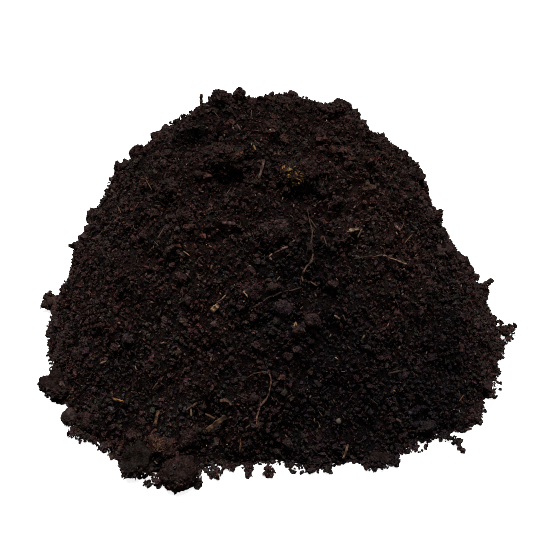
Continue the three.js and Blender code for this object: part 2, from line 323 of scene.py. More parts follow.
def sheetOfCells(spots, count):
    # each copy's own cell of a square sheet, so that no two copies share a spot of it
    across = math.ceil(math.sqrt(count))
    edge = 0.06
    cell = np.stack([np.arange(count) % across, np.arange(count) // across], -1)
    return ((cell[:, None, None] + edge + (1 - 2 * edge) * spots[None]) / across).reshape(-1, 2)


def makePiece(name, finish, points, faces, maps, tints, nodes=(), smooth=True):
    mesh = bpy.data.meshes.new(name)
    mesh.vertices.add(len(points))
    mesh.vertices.foreach_set("co", np.asarray(points, np.float32).ravel())
    mesh.loops.add(faces.size)
    mesh.loops.foreach_set("vertex_index", faces.astype(np.int32).ravel())
    mesh.polygons.add(len(faces))
    mesh.polygons.foreach_set("loop_start", np.arange(0, faces.size, 3, dtype=np.int32))
    mesh.polygons.foreach_set("use_smooth", np.broadcast_to(smooth, len(faces)).copy())
    rgba = np.concatenate([tints, np.ones((len(tints), 1))], 1)
    mesh.attributes.new("tint", "FLOAT_COLOR", "POINT").data.foreach_set("color", rgba.ravel())
    for mapName, spots in maps.items():
        mesh.uv_layers.new(name=mapName).uv.foreach_set("vector", np.asarray(spots, np.float32).ravel())
    mesh.update(calc_edges=True)
    mesh.materials.append(finish)
    piece = bpy.data.objects.new(name, mesh)
    bpy.context.scene.collection.objects.link(piece)
    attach(piece, "root")
    if nodes:
        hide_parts(*nodes)


def makeCopies(name, finish, points, faces, spots, tints, smooth=True):
    # many copies of one grid as one piece, each with its own tint and its own cell of the map
    tints = np.repeat(tints, points.shape[1], 0)
    maps = {"OFBake": sheetOfCells(spots, len(points))}
    count = len(points)
    points, faces = joined(points, faces)
    makePiece(name, finish, points, faces, maps, tints, smooth=smooth)
    print(name + ":", count, "with", len(faces), "faces")


# Finishes: a wire is one socket of a material, and sums on wires add Math nodes
class Wire:
    def __init__(self, tree, socket=None):
        self.tree = tree
        self.socket = socket

    def node(self, kind, settings, inputs, output=0):
        made = self.tree.nodes.new("ShaderNode" + kind)
        for name, value in settings.items():
            setattr(made, name, value)
        for name, value in inputs.items():
            if isinstance(value, Wire):
                self.tree.links.new(value.socket, made.inputs[name])
            else:
                made.inputs[name].default_value = value
        return Wire(self.tree, made.outputs[output])

    def sum(self, operation, first, second):
        return self.node("Math", {"operation": operation}, {0: first, 1: second})

    def __add__(self, other):
        return self.sum("ADD", self, other)

    def __radd__(self, other):
        return self.sum("ADD", other, self)

    def __sub__(self, other):
        return self.sum("SUBTRACT", self, other)

    def __rsub__(self, other):
        return self.sum("SUBTRACT", other, self)

    def __mul__(self, other):
        return self.sum("MULTIPLY", self, other)

    def __rmul__(self, other):
        return self.sum("MULTIPLY", other, self)

    def __pow__(self, other):
        return self.sum("POWER", self, other)


def newFinish(name, specular):
    # a material, its shader and a wire to start from
    material = bpy.data.materials.new(name)
    material.use_nodes = True
    shader = material.node_tree.nodes["Principled BSDF"]
    shader.inputs["Specular IOR Level"].default_value = specular
    return material, shader, Wire(material.node_tree)


def feed(shader, wires):
    for name, wire in wires.items():
        wire.tree.links.new(wire.socket, shader.inputs[name])


def grain(start, size, detail, output="Fac"):
    # noise around 0.5 whose bumps are about this large, by the place in the frame
    place = start.node("TexCoord", {}, {}, "Object")
    return start.node("TexNoise", {}, {"Vector": place, "Scale": 1 / size, "Detail": detail}, output)


def scaled(colour, factor):
    return colour.node("VectorMath", {"operation": "SCALE"}, {0: colour, "Scale": factor})


def compostFinish(name, specular=0.05, speck=0.7 * mm, depth=0.6 * mm, contrast=3.1):
    # the crumb's own tint · (2 · specks)^contrast · blotches, with a shift of hue; the specks are also
    # the bump's height, so the colour has random specks and painted shade in the bump's pits
    material, shader, start = newFinish(name, specular)
    tint = start.node("Attribute", {"attribute_name": "tint"}, {}, "Color")
    patches = grain(start, 2.6 * mm, 2)
    specksWithPitShade = grain(start, speck, 2)
    hue = grain(start, 1.1 * mm, 2, "Color")
    spread = {0: hue, 1: (1.9, 1.4, 1.3), 2: (0.05, 0.3, 0.35)}
    shift = start.node("VectorMath", {"operation": "MULTIPLY_ADD"}, spread)
    tinted = start.node("VectorMath", {"operation": "MULTIPLY"}, {0: tint, 1: shift})
    feed(shader, {
        # dark specks fall in the bump's pits: painted shade, besides random tone
        "Base Color": scaled(tinted, (2 * specksWithPitShade) ** contrast * (0.4 + 1.2 * patches)),
        "Roughness": 0.95 - 0.4 * patches,
        "Normal": start.node("Bump", {}, {"Strength": 1.0, "Distance": depth, "Height": specksWithPitShade}),
    })
    return material


def strandFinish(name, strands, specular=0.1):
    # the piece's own tint · pale and dark strands along its own map · stains
    material, shader, start = newFinish(name, specular)
    tint = start.node("Attribute", {"attribute_name": "tint"}, {}, "Color")
    spot = start.node("UVMap", {"uv_map": "grain"}, {})
    stretched = start.node("Mapping", {}, {"Vector": spot, "Scale": (strands, 2.5, 1)})
    strand = start.node("TexNoise", {}, {"Vector": stretched, "Scale": 1, "Detail": 4})
    stains = grain(start, 1.6 * mm, 3)
    feed(shader, {
        "Base Color": scaled(tint, (2 * strand) ** 4 * (2 * stains) ** 2),
        "Roughness": 0.6 + 0.3 * strand,
        "Normal": start.node("Bump", {}, {"Strength": 0.8, "Distance": 0.3 * mm, "Height": strand}),
    })
    return material


def tintFinish(name, specular=0.15):
    # the bit's own tint with faint stains, for grit, straws and fibres
    material, shader, start = newFinish(name, specular)
    tint = start.node("Attribute", {"attribute_name": "tint"}, {}, "Color")
    stains = grain(start, 0.9 * mm, 3)
    feed(shader, {
        "Base Color": scaled(tint, 0.2 + 1.6 * stains),
        "Roughness": 0.5 + 0.5 * stains,
        "Normal": start.node("Bump", {}, {"Strength": 0.5, "Distance": 0.15 * mm, "Height": stains}),
    })
    return material


# Colours as shares of the light that they send back
tones = {
    "brown": (0.0272, 0.0147, 0.0134),
    "plum": (0.0245, 0.0128, 0.0151),
    "rust": (0.0360, 0.0160, 0.0112),
    "grey": (0.0215, 0.0140, 0.0142),
    "olive": (0.0205, 0.0161, 0.0102),
    "black": (0.0110, 0.0075, 0.0077),
    "dusk": (0.0210, 0.0140, 0.0114),
    "umber": (0.0290, 0.0146, 0.0120),
    "moss": (0.0232, 0.0140, 0.0111),
    "seed": (0.1900, 0.1330, 0.1000),
    "russet": (0.0720, 0.0310, 0.0180),
    "beige": (0.0980, 0.0630, 0.0470),
    "ochre": (0.1400, 0.0735, 0.0260),
    "tan": (0.0850, 0.0460, 0.0240),
    "orange": (0.1100, 0.0460, 0.0170),
    "pink": (0.0650, 0.0340, 0.0270),
    "bark": (0.0420, 0.0210, 0.0150),
    "straw": (0.1700, 0.1020, 0.0570),
    "white": (0.2600, 0.1950, 0.1500),
    "stone": (0.0820, 0.0650, 0.0530),
}
crumbShares = {"brown": 0.44, "plum": 0.15, "rust": 0.11, "grey": 0.1, "olive": 0.1, "black": 0.1}
# Damp patches that also paint broad shade, and lighter patches that paint broad light: plan place, reach in
# millimetres and how much darker or lighter
dampAndShadePatches = [
    (22, -106, 45, 0.2), (45, -122, 50, 0.25), (85, -117, 42, 0.2), (-42, -12, 25, 0.28),
    (125, -60, 35, 0.12), (10, 10, 60, 0.1), (-90, -120, 35, 0.12), (-28, -34, 18, 0.15),
    (103, -87, 18, 0.35), (16, -74, 16, 0.1), (50, -72, 20, -0.35), (80, -72, 22, -0.3),
    (66, -98, 16, -0.25), (48, -44, 18, -0.12), (-42, -101, 22, -0.15), (92, -114, 16, 0.15),
]
# How the damp and painted shade, the height and the patches change red, green and blue, and how large the
# patches are
tintShifts = {
    "dampAndShade": (1.15, 1, 0.75), "high": (0.05, 0.25, 0.4), "patch": (0.15, -0.08, -0.06),
    "sizes": (8 * mm, 3 * mm),
}


def drawTones(shares, count, rng):
    colours = np.array([tones[name] for name in shares])
    return colours[rng.choice(len(colours), count, p=list(shares.values()))]


def crumbTints(places, rng, spread=0.36, mixed=1.0):
    # brown + mixed · (a tone drawn for each crumb - brown), times 2^(spread · bell draw); darker and
    # less brown where damp patches also paint broad shade, lighter where patches paint broad light,
    # browner towards the crown, and redder or greener by patches
    drawn = tones["brown"] + mixed * (drawTones(crumbShares, len(places), rng) - tones["brown"])
    dampAndShade = np.zeros(len(places))
    # damp patches with painted broad shade where they darken, and painted broad light where they lighten
    for x, y, reach, dark in dampAndShadePatches:
        dampAndShade = dampAndShade + dark * np.exp(-((places[:, :2] / mm - (x, y)) ** 2).sum(-1) / reach ** 2)
    wetAndShaded = 1 - dampAndShade[:, None] * tintShifts["dampAndShade"]
    dry = 1 - np.clip(places[:, 2:] / heapForm["height"] - 0.5, 0, 0.5) * tintShifts["high"]
    large, small = tintShifts["sizes"]
    drift = softNoise(places, large) + softNoise(places + 1, small)
    patch = 1 + drift[:, None] * tintShifts["patch"]
    return drawn * wetAndShaded * dry * patch * 2 ** (spread * rng.normal(0, 1, (len(places), 1)))


def bitTints(shares, count, rng):
    # a tone drawn for each bit, times 2^(half a bell draw)
    return drawTones(shares, count, rng) * 2 ** (0.5 * rng.normal(0, 1, (count, 1)))


def sideways(facing, rng):
    # a way drawn along the surface, square to where it faces
    return unit(np.cross(facing, rng.normal(0, 1, facing.shape)))


def shaken(points, size):
    # soft noise for each of the three axes
    return np.stack([softNoise(points + shift, size) for shift in (0.1, 0.2, 0.3)], -1)


crumbFinish = compostFinish("crumb_finish")
bedFinish = compostFinish("bed_finish", specular=0.02, depth=0.9 * mm)
clodFinish = compostFinish("clod_finish", specular=0.06, speck=1.0 * mm, contrast=2.5)
bitFinish = tintFinish("bit_finish")
woodFinish = strandFinish("wood_finish", 6)
rootFinish = strandFinish("root_finish", 5)


# The bed of packed compost under the crumbs, its tint darkened as painted shade in the gaps between them
bedShape = {
    "columns": 400, "rows": 125, "sunk": 1.2 * mm, "fineSize": 3.2 * mm, "fineHeight": 1.6 * mm,
    # light darkens the bed's tint as painted shade in the gaps between the crumbs
    "light": 0.28, "spread": 0.2, "mapRadius": 0.49, "underAt": 0.93, "underSize": 0.12,
}


def makeBed():
    # looseSurface(angle, share) + facing · (fine noise - sunk), with a flat underside
    columns, rows = bedShape["columns"], bedShape["rows"]
    row, column = np.meshgrid(np.arange(1, rows + 1), np.arange(columns), indexing="ij")
    angle = 2 * np.pi * (column + row / 2).ravel() / columns
    share = row.ravel() / rows
    points, facing = looseSurface(angle, share)
    fine = bedShape["fineHeight"] * softNoise(points, bedShape["fineSize"]) - bedShape["sunk"]
    points = points + facing * fine[:, None]
    points[:, 2] = np.where(share == 1, 0, np.maximum(points[:, 2], 0))
    crown = points[:columns].mean(0)
    points = np.concatenate([points, [crown, (0, 0, 0)]])
    faces = gridFaces(rows, columns)[0]
    # seen from above for the map, with the underside as a small disc in a corner
    flat = 0.5 + bedShape["mapRadius"] * share[:, None] * np.stack([np.cos(angle), np.sin(angle)], -1)
    flat = np.concatenate([flat, [(0.5, 0.5)] * 2])[faces]
    under = (faces == rows * columns + 1).any(1)
    flat[under] = bedShape["underAt"] + bedShape["underSize"] * (flat[under] - 0.5)
    # painted shade: the bed's tint is darkened by light, for the gaps between the crumbs
    tints = bedShape["light"] * crumbTints(points, np.random.default_rng(11), bedShape["spread"])
    maps = {"OFBake": flat.reshape(-1, 2)}
    makePiece("compost_bed", bedFinish, points, faces, maps, tints, ["compost_mass"])
    print("bed:", len(faces), "faces")


# Crumbs and flakes on the bed: how many, size from and to in millimetres, corners round and rings of
# each, how thin they get and how far they stand out as a share of their size
crumbLayers = {
    "flakes_a": {"count": 14500, "size": (0.8, 2.1), "grid": (4, 1), "thin": 0.25, "rise": 0.05},
    "flakes_b": {"count": 14500, "size": (0.8, 2.1), "grid": (4, 1), "thin": 0.25, "rise": 0.2},
    "crumbs_a": {"count": 7500, "size": (1.2, 2.9), "grid": (5, 2), "thin": 0.5, "rise": -0.1},
    "crumbs_b": {"count": 7500, "size": (1.2, 2.9), "grid": (5, 2), "thin": 0.5, "rise": 0.0},
    "coarse_crumbs": {
        "count": 600, "size": (2.6, 5.0), "grid": (7, 3), "thin": 0.6, "rise": 0.0, "mixed": 0.4,
    },
}
# For every crumb: its longest stretch, how far its corners are pushed in and out, how much smaller sizes
# outnumber larger ones, how far its rise varies and how high its middle stands off the ground, by its size
crumbShape = {"longest": 1.5, "uneven": 0.5, "bias": 1.6, "risen": 0.25, "stand": 0.35}


def randomTurns(count, rng):
    # three axes square to each other, the first drawn at random
    first = unit(rng.normal(0, 1, (count, 3)))
    second = unit(np.cross(first, rng.normal(0, 1, (count, 3))))
    return np.stack([first, second, np.cross(first, second)], -1)


def crumbShapes(places, sizes, rng, grid, thin):
    # place + size / 2 · turn · (corner · stretch · uneven push), flat where it meets the ground
    corners, faces, spots = ballGrid(*grid)
    uneven = crumbShape["uneven"]
    push = rng.uniform(1 - uneven, 1 + uneven, (len(places), len(corners), 1))
    stretch = rng.uniform(thin, crumbShape["longest"], (len(places), 1, 3))
    shaped = np.einsum("kij,knj->kni", randomTurns(len(places), rng), corners * push * stretch)
    points = places[:, None] + shaped * sizes[:, None, None] / 2
    points[..., 2] = np.maximum(points[..., 2], 0)
    return points, faces, spots


def makeCrumbPiece(name, places, sizes, rng, grid, thin, mixed=1.0):
    points, faces, spots = crumbShapes(places, sizes, rng, grid, thin)
    tints = crumbTints(places, rng, mixed=mixed)
    makeCopies(name, crumbFinish, points, faces, spots, tints, False)


def makeCrumbs(name, layer, rng):
    # place + facing · size · rise, with sizes low + (high - low) · draw^bias
    places, facing = looseSurface(*scatterOnHeap(layer["count"], rng))
    low, high = layer["size"]
    sizes = mm * (low + (high - low) * rng.uniform(0, 1, len(places)) ** crumbShape["bias"])
    rise = sizes * (layer["rise"] + rng.uniform(-crumbShape["risen"], crumbShape["risen"], len(places)))
    places = places + facing * rise[:, None]
    places[:, 2] = np.maximum(places[:, 2], crumbShape["stand"] * sizes)
    makeCrumbPiece(name, places, sizes, rng, layer["grid"], layer["thin"], layer.get("mixed", 1.0))


makeBed()
for number, (name, layer) in enumerate(crumbLayers.items()):
    makeCrumbs(name, layer, np.random.default_rng(21 + number))


# Crumbs on the ground round the foot: a thin fringe all round, and banks by their plan place, level and
# reach in millimetres and how many crumbs they have
fringe = {
    "count": 2300, "reach": 1.3 * mm, "farthest": 2.5, "inside": 0.6 * mm, "patches": 14 * mm,
    "thickness": (0.3, 2), "size": (1.0, 2.6), "grid": (5, 2), "thin": 0.4, "flatter": (1, 1, 0.6),
}
footBanks = [
    (-164, 18, 8, 3, 40), (-112, -117, 3, 4, 40), (-106, -121, 3, 4, 40), (-100, -122, 2, 2.5, 22),
    (-92, -128, 3, 3, 30), (-76, -145, 2, 5, 60), (-64, -153, 1, 2.6, 30), (-58, -154, 3, 4, 40),
    (-38, -154, 2, 3.5, 45), (-29, -147, 2, 4, 56), (-38, -146, 1, 1.8, 14), (-24, -142, 3, 3, 26),
    (-20, -142, 2, 3, 26), (-11.5, -144, 2, 3.2, 46), (-11, -148, 1, 1.8, 16), (0, -146, 2, 3.5, 44),
    (11, -141, 2, 3, 30), (23, -144, 2, 4, 50), (32, -144, 2, 3.5, 40), (55, -142, 2, 4.5, 60),
    (61, -142, 3, 4, 50), (68, -140, 3, 4, 50), (73, -129, 3, 3.5, 40), (79, -125, 3, 3.5, 40),
    (85, -122, 3, 3.5, 40), (92, -120, 3, 3, 30), (100, -121, 3, 4, 40), (105, -124, 3, 3, 30),
    (106.5, -128, 1, 1.6, 14), (107.5, -130.5, 1, 1, 8), (119, -105, 3, 4, 40), (125, -97, 3, 3, 24),
    (136, -85, 3, 3, 24), (145, -63, 3, 3, 24), (150, -47, 4, 3, 24), (163, -24, 6, 5, 50),
    (166, -19, 7, 4, 34), (161, -30, 4, 3.5, 26), (144, -13, 36.5, 3.2, 34), (147, -11.5, 37.5, 2.2, 22),
    (149.5, -11, 39.5, 1.7, 14), (-161, 16.5, 12, 2.4, 26), (156, -22, 13, 2.4, 20),
]


def makeFringe(rng):
    # foot + outward · reach · draw, thicker where soft noise is high; a bank is a round pile of crumbs
    count = fringe["count"]
    angle = rng.uniform(0, 2 * np.pi, count)
    foot = looseSurface(angle, np.ones(count))[0]
    least, more = fringe["thickness"]
    patch = least + more * np.maximum(softNoise(foot, fringe["patches"]), 0)
    outward = unit(foot * (1, 1, 0))
    draw = fringe["reach"] * patch * np.minimum(rng.exponential(1, count), fringe["farthest"])
    places = foot + outward * (draw - fringe["inside"])[:, None]
    for x, y, level, reach, number in footBanks:
        spread = rng.normal(0, 1, (number, 3))
        spread = reach * unit(spread) * rng.uniform(0, 1, (number, 1)) ** 0.5
        places = np.concatenate([places, ((x, y, level) + spread * fringe["flatter"]) * mm])
    low, high = fringe["size"]
    sizes = mm * rng.uniform(low, high, len(places))
    places[:, 2] = np.maximum(places[:, 2], crumbShape["stand"] * sizes)
    makeCrumbPiece("foot_crumbs", places, sizes, rng, fringe["grid"], fringe["thin"])


makeFringe(np.random.default_rng(31))


# Lumps of crumbs that show on the outline and the slope: plan place, size in millimetres
knobs = [
    (-95, 8, 5.5), (-71, 18, 3.5), (-47, 18, 3.5), (-108, -22, 5.5), (-113, -23, 4.5), (-117, -24, 5),
    (-102, -3, 3.5), (-120, -28, 3), (10, 13, 6.5), (17, 14, 6.5), (23, 12, 4), (94, 4, 4.5), (83, -2, 4),
    (117, -40, 5), (123, -41, 5.5), (136, -24, 6), (104, -44, 4), (3, -101, 5), (15, -113, 6.5),
    (-8, -109, 4.5), (-75, -133, 6.5), (-70, -131, 4.5), (-8, -128, 5), (34, -98, 6), (-54, -70, 5),
    (-3, -94, 4.5), (105, -52, 6), (92, -37, 5), (-113, -88, 6), (-44, -101, 5), (-55, -84, 4.5),
    (68, -74, 5.5), (99, -58, 5), (37, -69, 7), (-34, -42, 6), (-38, -56, 5.5), (55, -30, 6),
    (-60, -30, 6), (0, -22, 6), (30, -25, 5.5), (60, 60, 6), (-50, 70, 6.5), (10, 90, 6), (90, 60, 5.5),
    (-90, 60, 6), (32, -3, 5), (48, -12, 5.5), (-125, -16, 9), (-122, -11, 9), (-120, -5, 6),
    (-99, 14, 8), (-96, 16, 7.5), (-93, 19, 5.5), (-74, 15, 8), (-72, 17, 8), (-69, 22, 8), (-66, 24, 6),
    (-50, 29, 5.5), (-41, 27, 5), (-37, 27, 5), (-26, 29, 5.5), (1, 29, 5.5), (14, 28, 6), (18, 27, 5.5),
    (53, 16.5, 10.5), (55, 27, 7), (89, 18, 5), (101, 16, 8), (134, 6, 9), (142, 0, 5), (-118, 5, 9.5),
    (-47, 28.5, 7), (15, 28, 7),
]
knobShape = {
    "grid": (14, 8), "stretch": (0.75, 1.2), "rise": 0.1, "swell": 0.7, "swellSize": 2.6 * mm,
    "light": 0.75, "spread": 0.3,
}


def makeKnobs(rng):
    # middle + size / 2 · corner · (1 + swell · clumps), the middle at place + facing · rise · size
    plan = np.array(knobs)
    places, facing = onHeap(plan[:, :2])
    sizes = mm * plan[:, 2]
    corners, faces, spots = ballGrid(*knobShape["grid"])
    stretch = rng.uniform(*knobShape["stretch"], (len(plan), 1, 3))
    shaped = np.einsum("kij,knj->kni", randomTurns(len(plan), rng), corners * stretch)
    middles = places + facing * (knobShape["rise"] * sizes)[:, None]
    points = middles[:, None] + shaped * sizes[:, None, None] / 2
    swell = knobShape["swell"] * clumps(points, knobShape["swellSize"])
    points = middles[:, None] + (points - middles[:, None]) * (1 + swell)[..., None]
    spread = knobShape["spread"]
    light = knobShape["light"] * 2 ** rng.uniform(-spread, spread, (len(plan), 1))
    makeCopies("knobs", crumbFinish, points, faces, spots, light * tones["brown"], False)


makeKnobs(np.random.default_rng(32))


# Clods: how light, which tone, how uneven, how much of the frame's clod they fill, how many planes cut
# them and how sharply, flakes stuck to a square centimetre, and flecks with their tone, size and side
plainClod = {
    "light": 0.72, "tone": "umber", "uneven": 0.45, "fill": 0.95, "cuts": 15, "sharp": 9, "stuck": 60,
    "flecks": 0, "fleckTone": "tan", "fleckSize": (0.9, 2.2), "fleckSide": (0, -0.5, 0.8),
}
clodLooks = {
    "brow_clod": {"light": 0.6, "fill": 0.9, "flecks": 4, "fleckTone": "bark"},
    "ochre_clod": {
        "light": 0.52, "fill": 0.92, "flecks": 75, "fleckTone": "ochre", "fleckSize": (1.2, 3),
        "fleckSide": (-0.75, -0.65, 0.1),
    },
    "crown_clod_peak": {"light": 1.05, "fill": 0.78},
    "crown_clod_right": {"light": 0.85},
    "face_clod": {
        "tone": "brown", "light": 1.15, "uneven": 0.3, "flecks": 5, "fleckTone": "pink",
        "fleckSize": (0.8, 1.6),
    },
    "fleck_clod": {
        "light": 1.25, "uneven": 0.3, "flecks": 2, "fleckTone": "straw", "fleckSize": (2.4, 3.4),
    },
    "grey_clod": {"tone": "plum", "light": 0.85, "uneven": 0.2, "stuck": 20},
    "round_clod": {"tone": "brown", "light": 0.85, "fill": 1.06, "uneven": 0.08, "stuck": 9},
    "front_clod_big": {
        "light": 0.5, "fill": 1.1, "uneven": 0.25, "cuts": 120, "sharp": 30, "stuck": 14, "flecks": 6,
        "fleckTone": "pink", "fleckSide": (0, -0.9, -0.5),
    },
    "front_clod_dark": {
        "tone": "moss", "light": 0.37, "fill": 0.84, "uneven": 0.7, "cuts": 9, "sharp": 20, "stuck": 150,
    },
    "left_clod_smooth": {"tone": "dusk", "light": 1.15, "uneven": 0.2, "stuck": 14},
    "left_clod_long": {"light": 0.82, "fill": 1.05, "uneven": 0.14, "stuck": 10},
    "red_clod": {
        "tone": "rust", "light": 0.62, "uneven": 0.5, "stuck": 22, "flecks": 70, "fleckTone": "russet",
        "fleckSize": (0.9, 2.4),
    },
    "leaning_clod": {"light": 0.33, "uneven": 0.3, "cuts": 9, "sharp": 14, "stuck": 25},
    "shiny_clod": {"tone": "grey", "light": 0.52, "uneven": 0.2, "stuck": 14},
    "shoulder_clod_right": {"fill": 0.82},
    "shoulder_clod_left": {"fill": 0.84},
    "left_clod_high": {"light": 0.9},
    "left_clod_wedge": {"light": 0.38, "fill": 0.84, "uneven": 0.6, "stuck": 130},
    "right_clod_low": {"fill": 0.48, "stuck": 90},
    "right_clod_high": {"fill": 0.9, "stuck": 90},
    "front_clod_low": {"fill": 0.5, "uneven": 0.7, "stuck": 120, "light": 0.3},
    "front_clod_right": {"fill": 0.5, "uneven": 0.7, "stuck": 120, "light": 0.3},
}
# For every clod: its grid, how deep planes cut it, the most it fills, the sizes of its clumps and the share
# of the smaller, its flakes, how low they sit, the share of it with flecks, and the body's share of the map
clodShape = {
    "grid": (44, 21), "cutDepth": 0.8, "fullest": 1.1, "clumps": (4.5 * mm, 2.2 * mm), "smaller": 0.6,
    "flake": (0.9, 2.4), "flakeGrid": (4, 1), "flakeThin": 0.25, "lowest": -0.3, "marked": 0.2,
    "bodyMap": 0.7,
}


def chunk(directions, cuts, sharp, rng):
    # a ball cut flat by planes all round it: radius = (sum of (direction · plane)^sharp)^(-1 / sharp)
    steps = (np.arange(cuts)[:, None] * planeSteps + rng.uniform(0, 1, 2)) % 1
    level, turn = 2 * steps[:, 0] - 1, 2 * np.pi * steps[:, 1]
    ring = np.sqrt(1 - level ** 2)
    planes = np.stack([ring * np.cos(turn), ring * np.sin(turn), level], -1)
    planes = planes / rng.uniform(clodShape["cutDepth"], 1, (cuts, 1))
    return (np.maximum(directions @ planes.T, 0) ** sharp).sum(-1) ** (-1 / sharp)


def makeClod(name, look, rng):
    # middle + axes · half size · corner · chunk · (1 + uneven · clumps of two sizes), above the ground
    middle, axes, half = nodeFrames[name]
    corners, faces, spots = ballGrid(*clodShape["grid"])
    size = look["fill"] * chunk(corners, look["cuts"], look["sharp"], rng)
    size = np.minimum(size, clodShape["fullest"])
    points = middle + (corners * size[:, None] * half) @ axes.T
    large, small = clodShape["clumps"]
    swell = clumps(points, large) + clodShape["smaller"] * clumps(points, small)
    points = middle + (points - middle) * (1 + look["uneven"] * swell)[:, None]
    points[:, 2] = np.maximum(points[:, 2], 0)
    tints = np.tile(look["light"] * np.array(tones[look["tone"]]), (len(points), 1))
    area = 4 * np.pi * np.mean(half * np.roll(half, 1))
    stuck = int(look["stuck"] * area / (10 * mm) ** 2) + 1
    count = stuck + look["flecks"]
    outward = unit(points - middle)
    outer = np.flatnonzero(outward @ axes[:, 2] > clodShape["lowest"])
    marked = np.argsort(-(outward @ unit(np.array(look["fleckSide"]))))
    marked = marked[:int(clodShape["marked"] * len(points))]
    places = points[np.concatenate([rng.choice(outer, stuck), rng.choice(marked, look["flecks"])])]
    sizes = mm * rng.uniform(*clodShape["flake"], count)
    sizes[stuck:] = mm * rng.uniform(*look["fleckSize"], look["flecks"])
    grid, thin = clodShape["flakeGrid"], clodShape["flakeThin"]
    flakes, flakeFaces, flakeSpots = crumbShapes(places, sizes, rng, grid, thin)
    flakeTints = crumbTints(places, rng)
    flakeTints[stuck:] = tones[look["fleckTone"]]
    tints = np.concatenate([tints, np.repeat(flakeTints, flakes.shape[1], 0)])
    bodyMap = clodShape["bodyMap"]
    cells = sheetOfCells(flakeSpots, count) * (1, 0.99 - bodyMap) + (0, bodyMap + 0.01)
    maps = {"OFBake": np.concatenate([spots.reshape(-1, 2) * (1, bodyMap), cells])}
    flakes, flakeFaces = joined(flakes, flakeFaces)
    smooth = np.arange(len(faces) + len(flakeFaces)) < len(faces)
    faces = np.concatenate([faces, flakeFaces + len(points)])
    points = np.concatenate([points, flakes])
    makePiece("look_" + name, clodFinish, points, faces, maps, tints, [name], smooth)
    return len(faces)


clodNames = [name for name in nodeFrames if "clod" in name]
clodFaces = 0
for number, name in enumerate(clodNames):
    look = {**plainClod, **clodLooks.get(name, {})}
    clodFaces += makeClod(name, look, np.random.default_rng(101 + number))
print("clods:", len(clodNames), "with", clodFaces, "faces")


# Crumbs banked up against the clods: how many by the square of a clod's radius in millimetres, how far out
# they start and end as shares of its reach, how high they go as a share of its standing, and their size
skirts = {
    "density": 1.5, "near": 0.7, "far": 1.35, "bank": 0.9, "fall": 2.5, "settled": 0.3, "lowest": 9 * mm,
    "size": (1.1, 2.8), "grid": (5, 2), "thin": 0.4,
}


def makeSkirts(rng):
    # loose surface at (middle + aside · reach · share) + facing · bank · standing · (1 - draw)^fall
    middles, axes, half = (np.array(part) for part in zip(*(nodeFrames[name] for name in clodNames)))
    ground, facing = onHeap(middles[:, :2] / mm)
    standing = ((middles - ground) * facing).sum(1) + half[:, 2] / 2
    owner = np.repeat(np.arange(len(middles)), (skirts["density"] * (half[:, 1] / mm) ** 2).astype(int))
    aside = sideways(facing[owner], rng)
    reach = np.linalg.norm(np.einsum("kij,ki->kj", axes[owner], aside) * half[owner], axis=-1)
    draw = rng.uniform(0, 1, len(owner))
    share = skirts["near"] + (skirts["far"] - skirts["near"]) * draw
    places, around = onHeap((middles[owner] + aside * (reach * share)[:, None])[:, :2] / mm)
    lift = skirts["bank"] * np.maximum(standing, 0)[owner] * (1 - draw) ** skirts["fall"]
    lift = lift * rng.uniform(skirts["settled"], 1, len(owner))
    places = (places + around * lift[:, None])[places[:, 2] > skirts["lowest"]]
    sizes = mm * rng.uniform(*skirts["size"], len(places))
    makeCrumbPiece("clod_skirts", places, sizes, rng, skirts["grid"], skirts["thin"])


makeSkirts(np.random.default_rng(33))


# Wood and bark: tint at the pale strands, how far the piece arches as a share of its length, how blunt its
# ends are, and how much of the frame's width and thickness it has
plainWood = {"slot": "wood_bits", "arch": 0.04, "lift": 0.5 * mm, "tip": 0.5, "wide": 0.75, "fade": (1, 1)}
woodLooks = {
    "wood_chip_large": {"tint": (0.043, 0.0235, 0.0125), "tip": 0.8, "fade": (1.3, 0.8), "wide": 1.05},
    "wood_chip_small": {"tint": (0.085, 0.041, 0.022), "tip": 0.6},
    "straw_short": {"tint": (0.060, 0.032, 0.018)},
    "straw_orange": {"tint": (0.180, 0.080, 0.023), "fade": (1.3, 0.5)},
    "straw_upright": {"tint": (0.098, 0.044, 0.024)},
    "straw_foot": {"tint": (0.110, 0.061, 0.036)},
    "tan_chip": {"tint": (0.150, 0.085, 0.042), "arch": 0.1, "tip": 0.7},
    "yellow_chip": {"tint": (0.120, 0.078, 0.050), "arch": 0.08},
    "pale_chip": {"tint": (0.110, 0.058, 0.034)},
    "bark_strand": {
        "tint": (0.050, 0.030, 0.023), "slot": "bark", "arch": 0.1, "fade": (1.6, 0.6), "wide": 0.55,
    },
    "bark_flake": {"tint": (0.036, 0.020, 0.016), "slot": "bark", "arch": 0.1, "fade": (1.6, 0.7)},
    "splinter_upright": {
        "tint": (0.070, 0.032, 0.020), "slot": "bark", "arch": 0.05, "lift": 0, "tip": 0.45, "wide": 1,
    },
}
woodShape = {
    "steps": 16, "sides": 12, "boxy": 3.2, "taper": 3, "ragged": 0.25, "shake": 0.25 * mm,
    "shakeSize": 1.1 * mm,
}


def alongTints(look, t, sides):
    # tint · fade from first to last step, for the rings of a tube and its two ends
    fade = np.interp(t, (t[0], t[-1]), look["fade"])
    fade = np.concatenate([np.repeat(fade, sides), fade[[0, -1]]])
    return fade[:, None] * look["tint"]


